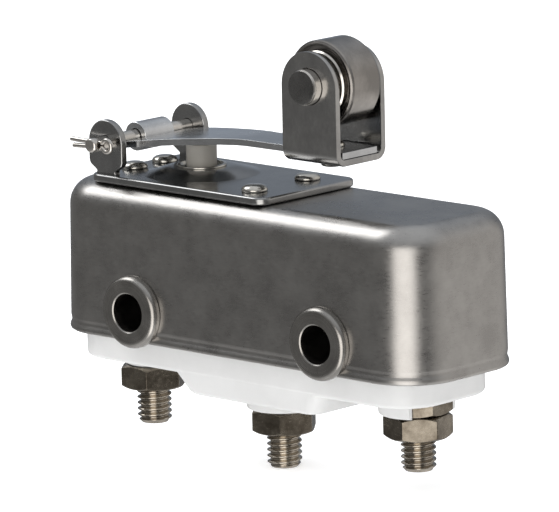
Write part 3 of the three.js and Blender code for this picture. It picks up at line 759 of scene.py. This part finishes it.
def make_stage():
    top, bottom, reach = -RIM - 0.02, -RIM - 2, 1500
    floor = turned("floor", [(0, top), (reach, top), (reach, bottom), (0, bottom)], (0, 0), "z", 64)
    floor.data.materials.append(stage_material("floor", (0.9, 0.9, 0.9), 0.5))
    floor.visible_glossy = False
    dome = turned("backdrop", [(1480 * math.cos(math.radians(a)), 1480 * math.sin(math.radians(a)) - 30)
                               for a in range(-5, 90, 5)] + [(0, 1450)], (0, 0), "z", 64)
    dome.data.materials.append(stage_material("backdrop", (0.9, 0.9, 0.9), 1.0))
    dome.visible_glossy = dome.visible_diffuse = dome.visible_shadow = dome.visible_transmission = False
    for obj in (floor, dome):
        for polygon in obj.data.polygons:
            polygon.use_smooth = True


def make_world():
    world = bpy.data.worlds.new("studio")
    scene.world = world
    world.use_nodes = True
    tree = world.node_tree
    background = tree.nodes["Background"]
    coordinates = tree.nodes.new("ShaderNodeTexCoord")
    direction = coordinates.outputs["Generated"]

    def dot(vector, target):
        node = tree.nodes.new("ShaderNodeVectorMath")
        node.operation = "DOT_PRODUCT"
        tree.links.new(vector, node.inputs[0])
        node.inputs[1].default_value = Vector(target).normalized()
        return node.outputs["Value"]

    def smooth(value, start, end, low=0.0, high=1.0):
        node = tree.nodes.new("ShaderNodeMapRange")
        node.interpolation_type = "SMOOTHSTEP"
        for key, number in (("From Min", start), ("From Max", end), ("To Min", low), ("To Max", high)):
            node.inputs[key].default_value = number
        tree.links.new(value, node.inputs["Value"])
        return node.outputs["Result"]

    def scaled(value, colour):
        node = tree.nodes.new("ShaderNodeVectorMath")
        node.operation = "SCALE"
        node.inputs[0].default_value = colour
        tree.links.new(value, node.inputs["Scale"])
        return node.outputs["Vector"]

    def added(a, b):
        node = tree.nodes.new("ShaderNodeVectorMath")
        node.operation = "ADD"
        tree.links.new(a, node.inputs[0])
        tree.links.new(b, node.inputs[1])
        return node.outputs["Vector"]

    def lobe(target, inner, outer, colour):
        cosines = math.cos(math.radians(outer)), math.cos(math.radians(inner))
        return scaled(smooth(dot(direction, target), *cosines), colour)

    height = dot(direction, (0, 0, 1))
    flat = tree.nodes.new("ShaderNodeVectorMath")
    flat.operation = "MULTIPLY"
    flat.inputs[1].default_value = (1, 1, 0)
    tree.links.new(direction, flat.inputs[0])
    level = tree.nodes.new("ShaderNodeVectorMath")
    level.operation = "NORMALIZE"
    tree.links.new(flat.outputs["Vector"], level.inputs[0])

    def strip(target, inner, outer, bottom, top, colour):
        """A tall panel: a band of azimuth between two heights."""
        cosines = math.cos(math.radians(outer)), math.cos(math.radians(inner))
        across = smooth(dot(level.outputs["Vector"], target), *cosines)
        tall = math_node(tree, "MULTIPLY", smooth(height, bottom - 0.15, bottom),
                         smooth(height, top + 0.15, top))
        return scaled(math_node(tree, "MULTIPLY", across, tall), colour)

    ground = scaled(smooth(height, -0.25, -0.9), (0.6, 0.6, 0.6))
    ceiling = scaled(smooth(height, 0.2, 0.95), (0.5, 0.52, 0.55))
    total = added(ground, ceiling)
    even = scaled(smooth(height, -2, -1.9), (0.205, 0.203, 0.2))
    for part in (
        even,
        lobe((-0.67, -0.2, 0.72), 8, 21, (3.6, 3.6, 3.6)),
        strip((0.52, -0.85, 0), 12, 30, -0.75, 0.3, (2.15, 2.08, 2.0)),
        lobe((0.667, 0.715, -0.15), 25, 62, (0.5, 0.48, 0.46)),
        lobe((-0.69, 0.72, 0.0), 4, 15, (0.1, 0.12, 0.15)),
        lobe((-0.6, 0.75, 0.35), 10, 50, (0.0, 0.02, 0.05)),
    ):
        total = added(total, part)
    tree.links.new(total, background.inputs["Color"])


def make_lights():
    """Broad soft fill that lights the pale parts and the floor without showing in the metal."""
    lamps = [
        ("fill_front", (120, -480, 420), 520, 0.7),
        ("fill_left", (-520, -260, 380), 520, 0.5),
        ("fill_top", (60, 120, 720), 700, 1.8),
    ]
    for name, at, size, power in lamps:
        data = bpy.data.lights.new(name, "AREA")
        data.shape, data.size, data.energy = "DISK", size * MM, power
        light = bpy.data.objects.new(name, data)
        scene.collection.objects.link(light)
        light.location = put(*at)
        light.rotation_mode = "QUATERNION"
        light.rotation_quaternion = (put(0, 0, 5) - light.location).to_track_quat("-Z", "Y")
        light.visible_glossy = light.visible_camera = False


make_camera()
make_can()
make_bushes()
make_base()
make_terminals()
make_plate()
make_plunger()
make_hinge_pin()
make_lever()
make_bracket()
make_roller()
carry(CERAMIC, "contact_cover")
carry(NICKEL, "common_anchor", "no_strip", "nc_strip")
carry(SILVER, "no_contact", "nc_contact", "moving_contact")
carry(SPRING, "contact_blade", "snap_tongue")
make_stage()
make_world()
make_lights()
scene.view_settings.view_transform = "Standard"
